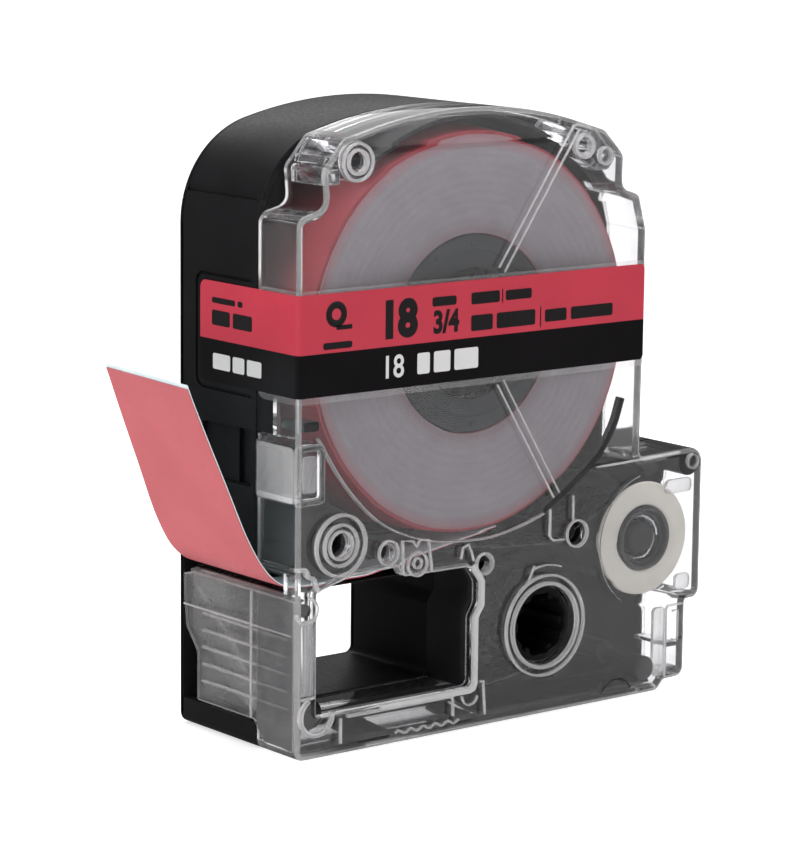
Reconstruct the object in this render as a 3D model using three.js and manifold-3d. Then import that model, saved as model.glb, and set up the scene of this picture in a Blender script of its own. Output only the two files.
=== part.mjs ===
// A label tape cartridge: a black rear shell and a clear front cover that hold a roll of label
// tape, the rubber platen roller that feeds it, and an ink ribbon on a supply and a take-up spool.
//
// Millimetres, +Z up. The shapes are drawn in a drawing frame: x runs to the right from the left
// wall, y runs back from the front face and z runs up from the standing edge. One group moves it
// all so that the part's origin is on the standing edge, below the roll's axis, at half depth.

import * as THREE from "three";
import { mergeVertices } from "three/addons/utils/BufferGeometryUtils.js";
import Module from "manifold-3d";

const wasm = await Module();
wasm.setup();

// ---- Driving dimensions -------------------------------------------------------------------

const DEPTH = 23; // front face to back face
const WALL = 1; // every outer wall and both plates
const RIM = 0.8; // the walls round the head opening
const PARTING = 7.5; // depth of the clear cover's skirt
const GAP = 0.3; // between pieces that only face each other
const FIT = 0.05; // between pieces that are pressed or wound together

const TAPE_WIDTH = 18;
const TAPE_FRONT = 2.9;
const TAPE_BACK = TAPE_FRONT + TAPE_WIDTH;
const TAPE_Z = 19.45; // height of the tape's mid-surface as it leaves the cartridge
const TAPE_LAYER = 0.12; // thickness of the film and of its liner, each
const RIBBON_Z = 18.85; // height of the ribbon's mid-surface below the tape
const RIBBON_THICK = 0.15;

const ROLL = { x: 26.5, z: 46, outer: 23, core: 11.4, bore: 9.4, hub: 9, neck: 7.2, hubHole: 6.2 };
const PLATEN = { x: 6, z: 24.1, rubber: 4.2, core: 2.2, bore: 1.3, coverHole: 1.45 };
const TAKEUP = { x: 36.4, z: 10.75, core: 4.5, bore: 3.8, tooth: 3.2, wound: 5.4, hole: 4.8 };
const SUPPLY = { x: 53.3, z: 18.9, core: 4, bore: 2.9, flange: 6.9, wound: 6.1, spindle: 2.5 };

const GUIDE_PINS = [
  { x: 12.8, z: 22.4, radius: 1.1 }, // holds the tape up to the platen
  { x: 41.2, z: 21.2, radius: 1.2 }, // ribbon, below
  { x: 26.9, z: 19.3, radius: 1.0 }, // ribbon, above
];
const CORNER_POSTS = [
  { x: 8, z: 66.8, radius: 1.7 },
  { x: 44.9, z: 65.6, radius: 1.5 },
  { x: 58.6, z: 26.6, radius: 1.5 },
  { x: 53.4, z: 3.4, radius: 1.5 },
];

const LABEL = { low: 41.15, high: 52.55, right: 51, back: 18.3, thick: 0.15 };
const SIDE_PANEL = { low: 3.2, high: 18.2, back: 21.5, thick: 0.9 };
const TAPE_SLOT_TOP = 21.2;

const ROUND = 40; // sides of a large circle
const SMALL_ROUND = 16; // sides of a small circle
const CHORD_SAG = 0.06; // most that a fillet's chord may cut inside its arc

// ---- Outlines: corners [x, z, fillet radius], anticlockwise as seen from the front -----------

const LOWER_RIGHT = [
  [54.8, 0, 1.2],
  [56, 1.2, 0.5],
  [59.2, 1.3, 1.2],
  [59.2, 10.8, 0.4],
  [61.5, 10.8, 1.2],
  [61.5, 29.5, 1.8],
  [51.2, 29.2, 0.8],
];
const SHELL_OUTLINE = [[0, 0, 1.2], ...LOWER_RIGHT, [51.2, 66.6, 12], [24.9, 74.4, 58], [0, 67.7, 12]];
const COVER_OUTLINE = [
  [0, 0, 1.2],
  ...LOWER_RIGHT,
  [51.4, 56.6, 1.5],
  [50.2, 60.8, 1],
  [47.5, 61.6, 1.4],
  [47.6, 65.6, 1.2],
  [44.6, 68.6, 1],
  [24.9, 74.4, 58],
  [6.3, 69.4, 1.5],
  [3.4, 66, 1.2],
  [3.8, 61.9, 1.4],
  [0, 61, 1.5],
];
const HEAD_OPENING = [
  [2.8, 4.9, 0.3],
  [25, 4.9, 0.8],
  [25, 13.4, 0.8],
  [26, 14.8, 1],
  [26, 17.4, 1],
  [24.6, 19.3, 0.6],
  [15.4, 19.3, 0.4],
  [14.3, 20.5, 0.4],
  [8, 20.4, 1],
  [2.8, 19, 0.3],
];

// ---- Outline and solid helpers --------------------------------------------------------------

const unit = (x, z) => [x / Math.hypot(x, z), z / Math.hypot(x, z)];

// The edge directions into and out of each corner, and the sine of the turn between them.
function edges(corners, i) {
  const [x, z] = corners[i];
  const before = corners[(i + corners.length - 1) % corners.length];
  const after = corners[(i + 1) % corners.length];
  const into = unit(x - before[0], z - before[1]);
  const out = unit(after[0] - x, after[1] - z);
  return { into, out, turn: into[0] * out[1] - into[1] * out[0] };
}

// The same corners moved inwards by a wall's thickness (outwards if it is negative).
function inset(corners, by) {
  return corners.map(([x, z, radius], i) => {
    const { into, out, turn } = edges(corners, i);
    const reach = by / (1 + into[0] * out[0] + into[1] * out[1]);
    const moved = turn > 0 ? radius - by : radius + by;
    return [x - (into[1] + out[1]) * reach, z + (into[0] + out[0]) * reach, Math.max(moved, 0)];
  });
}

// The points of a rounded outline, with each fillet as a short run of chords.
function outlinePoints(corners) {
  const points = [];
  corners.forEach(([x, z, radius], i) => {
    const { into, out, turn } = edges(corners, i);
    const angle = Math.acos(THREE.MathUtils.clamp(into[0] * out[0] + into[1] * out[1], -1, 1));
    const side = Math.sign(turn);
    const back = radius * Math.tan(angle / 2);
    const centreX = x - into[0] * back - into[1] * side * radius;
    const centreZ = z - into[1] * back + into[0] * side * radius;
    const from = Math.atan2(-side * into[0], side * into[1]);
    const chordAngle = 2 * Math.acos(1 - CHORD_SAG / Math.max(radius, CHORD_SAG));
    const chords = radius > 0 ? Math.max(2, Math.ceil(angle / chordAngle)) : 0;
    for (let step = 0; step <= chords; step += 1) {
      const at = chords ? from + (side * angle * step) / chords : 0;
      points.push(new THREE.Vector2(centreX + radius * Math.cos(at), centreZ + radius * Math.sin(at)));
    }
  });
  return points;
}

function circlePoints(x, z, radius, sides = SMALL_ROUND) {
  return Array.from({ length: sides }, (_, i) => {
    const angle = (i / sides) * 2 * Math.PI;
    return new THREE.Vector2(x + radius * Math.cos(angle), z + radius * Math.sin(angle));
  });
}

const outlineShape = (corners) => new THREE.Shape(outlinePoints(corners));
const outlineHole = (corners) => new THREE.Path(outlinePoints(corners));
const roundShape = (x, z, radius, sides) => new THREE.Shape(circlePoints(x, z, radius, sides));
const roundHole = (x, z, radius, sides) => new THREE.Path(circlePoints(x, z, radius, sides));

// A shape drawn in x and z, made solid from depth `front` to depth `back`.
function slab(shape, front, back) {
  const settings = { depth: back - front, bevelEnabled: false };
  return new THREE.ExtrudeGeometry(shape, settings).rotateX(Math.PI / 2).translate(0, back, 0);
}

function ring(x, z, outer, inner, front, back, sides = ROUND) {
  const shape = roundShape(x, z, outer, sides);
  shape.holes.push(roundHole(x, z, inner, sides));
  return slab(shape, front, back);
}

const pin = (x, z, radius, front, back, sides) => slab(roundShape(x, z, radius, sides), front, back);

// A closed wall that follows an outline, `thick` inwards from it (outwards if negative).
function wall(corners, thick, front, back) {
  const [outer, inner] = thick > 0 ? [corners, inset(corners, thick)] : [inset(corners, thick), corners];
  const shape = outlineShape(outer);
  shape.holes.push(outlineHole(inner));
  return slab(shape, front, back);
}

function block(x0, x1, y0, y1, z0, z1) {
  const centre = [(x0 + x1) / 2, (y0 + y1) / 2, (z0 + z1) / 2];
  return new THREE.BoxGeometry(x1 - x0, y1 - y0, z1 - z0).translate(...centre);
}

// A bar of rectangular section between two points of the front view.
function bar(from, to, width, front, back) {
  const [dx, dz] = unit(to[0] - from[0], to[1] - from[1]);
  const [sx, sz] = [(-dz * width) / 2, (dx * width) / 2];
  const corners = [
    [from[0] - sx, from[1] - sz],
    [to[0] - sx, to[1] - sz],
    [to[0] + sx, to[1] + sz],
    [from[0] + sx, from[1] + sz],
  ];
  return slab(new THREE.Shape(corners.map(([x, z]) => new THREE.Vector2(x, z))), front, back);
}

// A strip that follows a path in the front view, between two offsets to the left of it.
function strip(points, low, high, front, back) {
  const at = (i, offset) => {
    const before = points[Math.max(i - 1, 0)];
    const after = points[Math.min(i + 1, points.length - 1)];
    const [dx, dz] = unit(after.x - before.x, after.y - before.y);
    return new THREE.Vector2(points[i].x - dz * offset, points[i].y + dx * offset);
  };
  const there = points.map((_, i) => at(i, low));
  const returning = points.map((_, i) => at(i, high)).reverse();
  return slab(new THREE.Shape([...there, ...returning]), front, back);
}

// A closed coil spring round the depth axis, with one straight leg to catch on.
function coilSpring(x, z, radius, wire, turns, front, back, leg) {
  const points = [];
  const steps = turns * 16;
  for (let i = 0; i <= steps; i += 1) {
    const angle = (i / steps) * turns * 2 * Math.PI;
    const y = front + wire / 2 + (i / steps) * (back - front - wire);
    points.push(new THREE.Vector3(x + radius * Math.cos(angle), y, z + radius * Math.sin(angle)));
  }
  const end = points[points.length - 1];
  points.push(new THREE.Vector3(end.x - leg * 0.1, end.y, end.z + leg * 0.5));
  points.push(new THREE.Vector3(end.x - leg * 0.5, end.y, end.z + leg));
  const section = new THREE.Shape(circlePoints(0, 0, wire / 2, 6));
  const extrudePath = new THREE.CatmullRomCurve3(points);
  return new THREE.ExtrudeGeometry(section, { steps: steps + 6, extrudePath, bevelEnabled: false });
}

// ---- Booleans -------------------------------------------------------------------------------

function solid(geometry) {
  const bare = geometry.clone();
  bare.deleteAttribute("normal");
  bare.deleteAttribute("uv");
  const merged = mergeVertices(bare, 1e-4);
  const vertProperties = merged.attributes.position.array;
  const triVerts = new Uint32Array(merged.index.array);
  return new wasm.Manifold(new wasm.Mesh({ numProp: 3, vertProperties, triVerts }));
}

// Joins the added geometries and cuts the others out of them.
function combine(added, cut = [], addedAfter = []) {
  let result = added.map(solid).reduce((sum, next) => sum.add(next));
  for (const geometry of cut) result = result.subtract(solid(geometry));
  for (const geometry of addedAfter) result = result.add(solid(geometry));
  const { vertProperties, triVerts } = result.getMesh();
  const geometry = new THREE.BufferGeometry();
  geometry.setAttribute("position", new THREE.BufferAttribute(vertProperties, 3));
  geometry.setIndex(new THREE.BufferAttribute(triVerts, 1));
  geometry.computeVertexNormals();
  return geometry;
}

// ---- Materials ------------------------------------------------------------------------------

const paint = (color, roughness, extra = {}) =>
  new THREE.MeshStandardMaterial({ color, roughness, metalness: 0, ...extra });
const blackPlastic = () => paint(0x242426, 0.45);
const clearPlastic = () => paint(0xd8d8d8, 0.12, { transparent: true, opacity: 0.3 });
const steelWire = () => paint(0xb5b7ba, 0.3, { metalness: 1 });

const drawing = new THREE.Group();
drawing.position.set(-ROLL.x, -DEPTH / 2, 0);

function piece(name, geometry, material) {
  const mesh = new THREE.Mesh(geometry, material);
  mesh.name = name;
  drawing.add(mesh);
}

// ---- Rear shell: a black tray with the spindles, posts and pins ------------------------------

const PLATE_IN = DEPTH - WALL; // inner face of the back plate
const SHELL_FRONT = PARTING + GAP; // the shell's walls stop here, behind the cover's skirt
const INTO = 0.1; // joined solids run into each other by this much

function rearShell() {
  const walls = [
    slab(outlineShape(SHELL_OUTLINE), PLATE_IN, DEPTH),
    wall(SHELL_OUTLINE, WALL, SHELL_FRONT, PLATE_IN + INTO),
    wall(HEAD_OPENING, -RIM, SHELL_FRONT, PLATE_IN + INTO),
  ];
  const cuts = [
    slab(outlineShape(HEAD_OPENING), 0, DEPTH + 1),
    pin(TAKEUP.x, TAKEUP.z, TAKEUP.hole, 0, DEPTH + 1, ROUND),
    pin(PLATEN.x, PLATEN.z, PLATEN.bore + GAP, 0, DEPTH + 1),
    block(WALL, 18, SHELL_FRONT - 1, PLATE_IN, 18.3, 22), // tape and ribbon at the head
    block(21.3, 28, SHELL_FRONT - 1, PLATE_IN, 18.3, 21.2), // ribbon, round its upper pin
    block(-1, WALL + 0.2, SHELL_FRONT - 1, PLATE_IN, 3.1, TAPE_SLOT_TOP), // clear side panel
    block(-1, 0.5, 8.6, 18, 30, 36.4), // grip recess in the left wall
    block(-1, 0.7, 8.6, 11.4, 30.6, 35.6), // its deeper slot
    block(-1, 0.35, 4, DEPTH + 1, 62.6, 63.6), // witness groove
  ];
  const hub = [
    ring(ROLL.x, ROLL.z, ROLL.neck, ROLL.hubHole, 4, 9, ROUND),
    ring(ROLL.x, ROLL.z, ROLL.hub, ROLL.hubHole, 8, PLATE_IN + INTO, ROUND),
  ];
  const spindle = [
    pin(SUPPLY.x, SUPPLY.z, SUPPLY.spindle, 5, PLATE_IN + INTO, ROUND),
    pin(SUPPLY.x, SUPPLY.z, SUPPLY.spindle - 0.5, 2.2, 6, ROUND),
    ring(PLATEN.x, PLATEN.z, PLATEN.core + 1.1, PLATEN.core + GAP, TAPE_BACK + GAP, PLATE_IN + INTO, ROUND),
  ];
  const guides = GUIDE_PINS.map((p) => pin(p.x, p.z, p.radius, 1.5, PLATE_IN + INTO));
  const posts = CORNER_POSTS.map((p) => pin(p.x, p.z, p.radius, SHELL_FRONT, PLATE_IN + INTO));
  return combine(walls, cuts, [...hub, ...spindle, ...guides, ...posts]);
}

// ---- Front cover: a clear tray with the side panel below the tape slot ------------------------

const RAISED = -0.35; // how far bosses and ribs stand out of the front face

const COVER_HOLES = [
  { ...TAKEUP, radius: TAKEUP.hole, sides: ROUND },
  { ...PLATEN, radius: PLATEN.coverHole },
  { x: 8, z: 66.8, radius: 1.15 },
  { x: 41.9, z: 67.5, radius: 1.3 },
  ...GUIDE_PINS.map(({ x, z, radius }) => ({ x, z, radius: radius + GAP })),
];

function sidePanel() {
  const panel = [block(0, SIDE_PANEL.thick, 0.6, SIDE_PANEL.back, SIDE_PANEL.low, SIDE_PANEL.high)];
  for (let i = 0; i < 5; i += 1) {
    const z = 5.9 + i * 2;
    panel.push(block(-0.25, INTO, 1.7, 18, z - 0.15, z + 0.15));
  }
  return panel;
}

function frontCover() {
  const { x, z } = TAKEUP;
  const raised = [
    ring(x, z, 6.15, 5.5, RAISED, INTO),
    ring(x, z, TAKEUP.hole + 0.4, TAKEUP.hole, RAISED, INTO),
    ring(PLATEN.x, PLATEN.z, 3.6, 3.2, RAISED, INTO, 32),
    ring(PLATEN.x, PLATEN.z, 2.4, PLATEN.coverHole, RAISED, INTO, 32),
    ring(8, 66.8, 2.2, 1.15, RAISED, INTO, 24),
    bar([40, 69.2], [29, 53.4], 1, RAISED / 2, INTO),
    bar([29, 40.4], [37.9, 26.2], 1, RAISED / 2, INTO),
  ];
  const inside = [
    ring(PLATEN.x, PLATEN.z, PLATEN.core + 1.1, PLATEN.core + GAP, WALL - INTO, TAPE_FRONT - GAP, 32),
    block(53.4, 54.4, WALL - INTO, 3, 2.3, 6),
  ];
  const skirt = [
    wall(COVER_OUTLINE, WALL, WALL - INTO, PARTING),
    wall(HEAD_OPENING, -RIM, WALL - INTO, PARTING),
  ];
  const cuts = [
    slab(outlineShape(HEAD_OPENING), -1, PARTING + 1),
    ...COVER_HOLES.map((hole) => pin(hole.x, hole.z, hole.radius, -1, WALL + INTO, hole.sides)),
    block(WALL, 18, TAPE_FRONT - 0.4, PARTING + 1, 18.3, 22),
    block(-1, WALL + 0.2, TAPE_FRONT - 0.4, PARTING + 1, 18.3, TAPE_SLOT_TOP),
    block(21.3, 28, TAPE_FRONT - 0.4, PARTING + 1, 18.3, 21.2),
    block(-1, 0.5, 4.6, PARTING + 1, 36.4, 40.4), // recess above the latch block
  ];
  const latch = [block(0, 3.9, 0.2, 7.4, 29, 29.7), block(0, 3.2, 0.2, 7.4, 35.2, 35.9)];
  const plate = slab(outlineShape(COVER_OUTLINE), 0, WALL);
  return combine([plate, ...skirt, ...inside], cuts, [...raised, ...sidePanel(), ...latch]);
}

// ---- Wrap label: printed band round the front and the left side -------------------------------

function wrapLabel() {
  const { low, high, right, back, thick } = LABEL;
  const out = -FIT - thick;
  const plan = new THREE.Shape(
    [[out, out], [right, out], [right, -FIT], [-FIT, -FIT], [-FIT, back], [out, back]].map(
      ([x, y]) => new THREE.Vector2(x, y),
    ),
  );
  return new THREE.ExtrudeGeometry(plan, { depth: high - low, bevelEnabled: false }).translate(0, 0, low);
}

// ---- Tape: core, wound roll, film discs, the run to the head and the loose lead ---------------

const FILM_RADIUS = ROLL.outer - 0.6;
const aroundCore = (outer, front, back) => ring(ROLL.x, ROLL.z, outer, ROLL.core + FIT, front, back);
const toPoints = (list) => list.map(([x, z]) => new THREE.Vector2(x, z));
const NIP_X = 12.4; // the lead's inner end, below the tape guide pin

function tapeCore() {
  const { x, z, core, bore, neck } = ROLL;
  const web = ring(x, z, bore + 0.4, neck + GAP, 2.6, 3.6);
  return combine([ring(x, z, core, bore, 2.6, DEPTH - WALL - GAP), web]);
}

function tapeWeb() {
  const slope = Math.tan(THREE.MathUtils.degToRad(11));
  const start = [NIP_X + GAP, TAPE_Z];
  const end = [30.9, TAPE_Z + (30.9 - start[0]) * slope];
  return strip(toPoints([start, end]), -TAPE_LAYER, TAPE_LAYER, TAPE_FRONT, TAPE_BACK);
}

function leadPath() {
  const outside = [
    [1.6, TAPE_Z],
    [0.2, 19.75],
    [-1, 20.5],
    [-2.4, 21.9],
    [-4.4, 25.2],
    [-7.3, 32],
    [-10, 38.4],
    [-11.9, 43.1],
  ].map(([x, z]) => new THREE.Vector3(x, z, 0));
  const curve = new THREE.CatmullRomCurve3(outside, false, "centripetal");
  const bend = curve.getSpacedPoints(24).map(({ x, y }) => new THREE.Vector2(x, y));
  return [new THREE.Vector2(NIP_X, TAPE_Z), ...bend];
}

// The path runs outwards, so the printed film is to its left, below, and the liner above.
function tapeLead() {
  const path = leadPath();
  piece("tape_lead_film", strip(path, 0, TAPE_LAYER, TAPE_FRONT, TAPE_BACK), paint(0xc84a58, 0.35));
  piece("tape_lead_liner", strip(path, -TAPE_LAYER, 0, TAPE_FRONT, TAPE_BACK), paint(0xdcebec, 0.6));
}

// ---- Platen roller ----------------------------------------------------------------------------

function platen() {
  const { x, z, rubber, core, bore } = PLATEN;
  piece("platen_core", ring(x, z, core, bore, 1.5, 21.4, 24), paint(0x3a3a3c, 0.4));
  piece("platen_rubber", ring(x, z, rubber, core + FIT, TAPE_FRONT, TAPE_BACK, 32), paint(0x1c1c1c, 0.9));
}

// ---- Ink ribbon -------------------------------------------------------------------------------

function takeupSpool() {
  const { x, z, core, bore, tooth, wound } = TAKEUP;
  const teeth = Array.from({ length: 6 }, (_, i) => {
    const angle = (i / 6) * 2 * Math.PI;
    const along = (radius) => [x + radius * Math.cos(angle), z + radius * Math.sin(angle)];
    return bar(along(tooth), along(bore + 0.4), 0.9, 1, 22);
  });
  const spool = combine([ring(x, z, core, bore, 0.6, 22.4), ...teeth]);
  piece("ribbon_takeup_core", spool, blackPlastic());
  const turns = ring(x, z, wound, core + FIT, TAPE_FRONT, TAPE_BACK);
  piece("ribbon_takeup_roll", turns, paint(0x141416, 0.25));
}

function supplySpool() {
  const { x, z, core, bore, flange, wound } = SUPPLY;
  const tube = combine([ring(x, z, core, bore, 4.6, 21.4), ring(x, z, core, 3.5, 1.6, 4.7)]);
  piece("ribbon_supply_core", tube, paint(0x3c3c40, 0.25));
  piece("ribbon_supply_flange", ring(x, z, flange, core + FIT, 2, 2.6), paint(0xc4c0b4, 0.6));
  piece("ribbon_supply_roll", ring(x, z, wound, core + FIT, TAPE_FRONT, TAPE_BACK), paint(0x141416, 0.25));
}

function ribbonWeb() {
  const path = toPoints([
    [50.1, 24.7],
    [41.2, 19.6],
    [26.9, 20.75],
    [21.6, RIBBON_Z + 0.1],
    [20.4, RIBBON_Z],
    [2.7, RIBBON_Z],
    [1.6, 18.5],
    [1.4, 17.6],
    [1.4, 4.6],
    [1.6, 3.8],
    [2.4, 3.5],
    [27, 3.5],
    [36.9, 4.9],
  ]);
  return strip(path, -RIBBON_THICK / 2, RIBBON_THICK / 2, TAPE_FRONT, TAPE_BACK);
}

// ---- Assembly -----------------------------------------------------------------------------------

piece("rear_shell", rearShell(), blackPlastic());
piece("front_cover", frontCover(), clearPlastic());
piece("wrap_label", wrapLabel(), paint(0xcc3f52, 0.5));
piece("tape_core", tapeCore(), paint(0x46484b, 0.6));
piece("tape_roll", aroundCore(ROLL.outer, TAPE_FRONT, TAPE_BACK), paint(0xb04a55, 0.7));
piece("roll_film_front", aroundCore(FILM_RADIUS, TAPE_FRONT - 0.3, TAPE_FRONT - 0.1), paint(0x9a959a, 0.5));
piece("roll_film_rear", aroundCore(FILM_RADIUS, TAPE_BACK + 0.1, TAPE_BACK + 0.3), paint(0x9a959a, 0.5));
piece("core_brake_spring", coilSpring(ROLL.x, ROLL.z, 8.1, 0.5, 3, 4.4, 7.4, 0.6), steelWire());
piece("tape_web", tapeWeb(), paint(0xc84a58, 0.35));
tapeLead();
platen();
supplySpool();
piece("supply_brake_spring", coilSpring(SUPPLY.x, SUPPLY.z, 2.75, 0.35, 3, 2.6, 4.6, 0.3), steelWire());
takeupSpool();
piece("ribbon_web", ribbonWeb(), paint(0x141416, 0.2));

const cartridge = new THREE.Group();
cartridge.add(drawing);

export default cartridge;
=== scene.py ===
import math

import bmesh
import bpy
from mathutils import Matrix, Vector
from mathutils.geometry import tessellate_polygon


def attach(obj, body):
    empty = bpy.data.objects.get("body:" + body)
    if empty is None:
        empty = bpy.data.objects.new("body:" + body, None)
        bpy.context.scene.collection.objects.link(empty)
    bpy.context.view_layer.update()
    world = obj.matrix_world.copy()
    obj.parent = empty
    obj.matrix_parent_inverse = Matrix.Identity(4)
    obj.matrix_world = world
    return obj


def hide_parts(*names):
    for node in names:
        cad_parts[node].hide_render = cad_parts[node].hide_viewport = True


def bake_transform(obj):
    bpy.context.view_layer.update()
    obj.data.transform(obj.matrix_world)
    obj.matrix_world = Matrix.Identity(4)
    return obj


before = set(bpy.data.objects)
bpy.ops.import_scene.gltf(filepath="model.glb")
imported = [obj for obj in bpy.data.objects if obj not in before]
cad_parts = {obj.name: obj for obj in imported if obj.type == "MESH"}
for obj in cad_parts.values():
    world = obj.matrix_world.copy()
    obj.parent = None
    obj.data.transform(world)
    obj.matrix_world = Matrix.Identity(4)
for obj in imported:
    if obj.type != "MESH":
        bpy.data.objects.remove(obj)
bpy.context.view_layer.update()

# A label tape cartridge. Shapes are drawn in millimetres in a drawing frame: x to the right
# from the left wall, y back from the front face, z up from the standing edge.

DEPTH = 23.0
WALL = 1.0
RIM = 0.8
PARTING = 7.5
GAP = 0.3
FACE = PARTING + GAP  # the front of the black shell
TAPE_FRONT = 2.9
TAPE_BACK = 20.9
TAPE_Z = 19.45
TAPE_LAYER = 0.12
ROLL = (26.5, 46.0)
ROLL_OUTER = 23.0
CORE_OUTER = 11.4
HUB = 9.0
PLATEN = (6.0, 24.1)
TAKEUP = (36.4, 10.75)
SUPPLY = (53.3, 18.9)
LABEL_LOW, LABEL_HIGH, LABEL_RIGHT, LABEL_BACK = 41.15, 52.55, 51.0, 18.3
LABEL_SPLIT = 45.95  # black below, red above
RAISED = -0.35  # the front of the bosses, which stand proud of the plate
FRONT_RIM, FRONT_RIM_DEPTH = 0.35, 1.6  # the clear lip round the head opening
PRINT_FRONT, PRINT_BACK = -0.175, -0.145  # the printed marks, just above the label's film
NUMERALS_AT = -0.162
CAP_HEIGHT = 0.72  # of the plain font's numerals, for a size of 1
FILM_OUTER, FILM_INNER = 22.6, 11.5
POST_END = 22.1  # posts and ribs end inside the back wall
TAPE_MIDDLE = 11.9
TAPE_TWIST = 0.085  # how far the tape's free end turns about the upright
SIDE_RECESS = (5, 22, 3.1, 21.2, 0.4)
SHADOW_TINT = (0.86, 0.86, 0.87, 1)
CREASE = math.radians(32)  # edges sharper than this are shaded as edges
BOSS = (8, 66.8)
TAB_HOLE, TAB_PIN = (41.4, 66.9), (44.7, 65.6)
LEFT_GUIDE, RIGHT_GUIDE, TOP_GUIDE = (12.8, 22.4), (41.2, 21.2), (26.9, 19.3)

LOWER_RIGHT = [
    (54.8, 0, 1.2),
    (56, 1.2, 0.5),
    (59.2, 1.3, 1.2),
    (59.2, 10.8, 0.4),
    (61.5, 10.8, 1.2),
    (61.5, 29.5, 1.8),
    (51.2, 29.2, 0.8),
]
# Outlines seen from the front, as (x, z, fillet) corners, anticlockwise.
SHELL = [(0, 0, 1.2), *LOWER_RIGHT, (51.2, 66.6, 12), (24.9, 74.4, 58), (0, 67.7, 12)]
COVER = [
    (0, 0, 1.2),
    *LOWER_RIGHT,
    (51.4, 56.6, 1.5),
    (50.2, 60.8, 1),
    (47.5, 61.6, 1.4),
    (47.6, 65.6, 1.2),
    (44.6, 68.6, 1),
    (24.9, 74.4, 58),
    (6.3, 69.4, 1.5),
    (3.4, 66, 1.2),
    (3.8, 61.9, 1.4),
    (0, 61, 1.5),
]
HEAD = [
    (2.8, 4.9, 0.3),
    (25, 4.9, 0.8),
    (25, 13.4, 0.8),
    (26, 14.8, 1),
    (26, 17.4, 1),
    (24.6, 19.3, 0.6),
    (15.4, 19.3, 0.4),
    (14.3, 20.5, 0.4),
    (8, 20.4, 1),
    (2.8, 19, 0.3),
]
# The head opening in the clear cover, whose right edge lies a little further out.
HEAD_FRONT = [
    (2.8, 4.9, 0.3),
    (25.6, 4.9, 0.8),
    (25.6, 13.2, 0.8),
    (26.5, 14.6, 1),
    (26.5, 17.2, 1),
    (25, 19.2, 0.6),
    *HEAD[6:],
]

# ---- Outlines --------------------------------------------------------------------------------


def unit(x, z):
    length = math.hypot(x, z)
    return x / length, z / length


def edges(corners, i):
    x, z = corners[i][:2]
    before = corners[i - 1]
    after = corners[(i + 1) % len(corners)]
    into = unit(x - before[0], z - before[1])
    out = unit(after[0] - x, after[1] - z)
    return into, out, into[0] * out[1] - into[1] * out[0], into[0] * out[0] + into[1] * out[1]


def inset(corners, by):
    """The corners moved inwards by `by`, or outwards if it is negative."""
    moved = []
    for i, (x, z, radius) in enumerate(corners):
        into, out, turn, dot = edges(corners, i)
        reach = by / (1 + dot)
        radius = max(radius - by if turn > 0 else radius + by, 0.02)
        moved.append((x - (into[1] + out[1]) * reach, z + (into[0] + out[0]) * reach, radius))
    return moved


def rounded(corners, by=0.0, sag=0.008):
    """The points of a filleted outline, moved inwards by `by`, always the same number of them."""
    points = []
    for i, ((x, z, radius), (_, _, base)) in enumerate(zip(inset(corners, by), corners)):
        into, _, turn, dot = edges(corners, i)
        angle = math.acos(max(-1, min(1, dot)))
        side = math.copysign(1, turn)
        back = radius * math.tan(angle / 2)
        cx = x - into[0] * back - into[1] * side * radius
        cz = z - into[1] * back + into[0] * side * radius
        start = math.atan2(-side * into[0], side * into[1])
        step = 2 * math.acos(1 - sag / max(base, sag * 2))
        chords = max(2, math.ceil(angle / step))
        for k in range(chords + 1):
            at = start + side * angle * k / chords
            points.append((cx + radius * math.cos(at), cz + radius * math.sin(at)))
    return points


def disc(x, z, radius, sides=64):
    """A round outline, in the same form as the filleted ones: called with an inset."""
    turn = [2 * math.pi * k / sides for k in range(sides)]
    unit_ring = [(math.cos(a), math.sin(a)) for a in turn]
    return lambda by=0.0: [(x + (radius - by) * c, z + (radius - by) * s) for c, s in unit_ring]


def outline(corners):
    return corners if callable(corners) else (lambda by=0.0: rounded(corners, by))


def rect(x0, x1, z0, z1, radius=0.2):
    return [(x0, z0, radius), (x1, z0, radius), (x1, z1, radius), (x0, z1, radius)]


# ---- Solids ----------------------------------------------------------------------------------

AXES = {
    "y": lambda u, v, w: (u, w, v),
    "x": lambda u, v, w: (w, u, v),
}


def profile(soft, start, inwards):
    """The (inset, depth) steps of a rounded edge that ends on a cap at `start`."""
    if soft <= 0:
        return [(0.0, start)]
    steps = []
    for k in range(4):
        a = math.radians(30 * k)
        steps.append((soft * (1 - math.sin(a)), start + inwards * soft * (1 - math.cos(a))))
    return steps


def bridge(bm, rows, mat, closed=False):
    """Quads between rings of vertices."""
    pairs = list(zip(rows, rows[1:])) + ([(rows[-1], rows[0])] if closed else [])
    for a, b in pairs:
        for i in range(len(a)):
            j = (i + 1) % len(a)
            bm.faces.new((a[i], a[j], b[j], b[i])).material_index = mat


def cap(bm, rings, mat):
    """Fills an outer ring of vertices, less the rings inside it."""
    flat = [v for ring in rings for v in ring]
    spans = [max(v.co[k] for v in flat) - min(v.co[k] for v in flat) for k in range(3)]
    u, v = [k for k in range(3) if k != spans.index(min(spans))]
    loops = [[(p.co[u], p.co[v], 0.0) for p in ring] for ring in rings]
    for tri in tessellate_polygon(loops):
        corners = [flat[i] for i in tri]
        if len(set(corners)) == 3 and not bm.faces.get(corners):
            bm.faces.new(corners).material_index = mat


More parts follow.
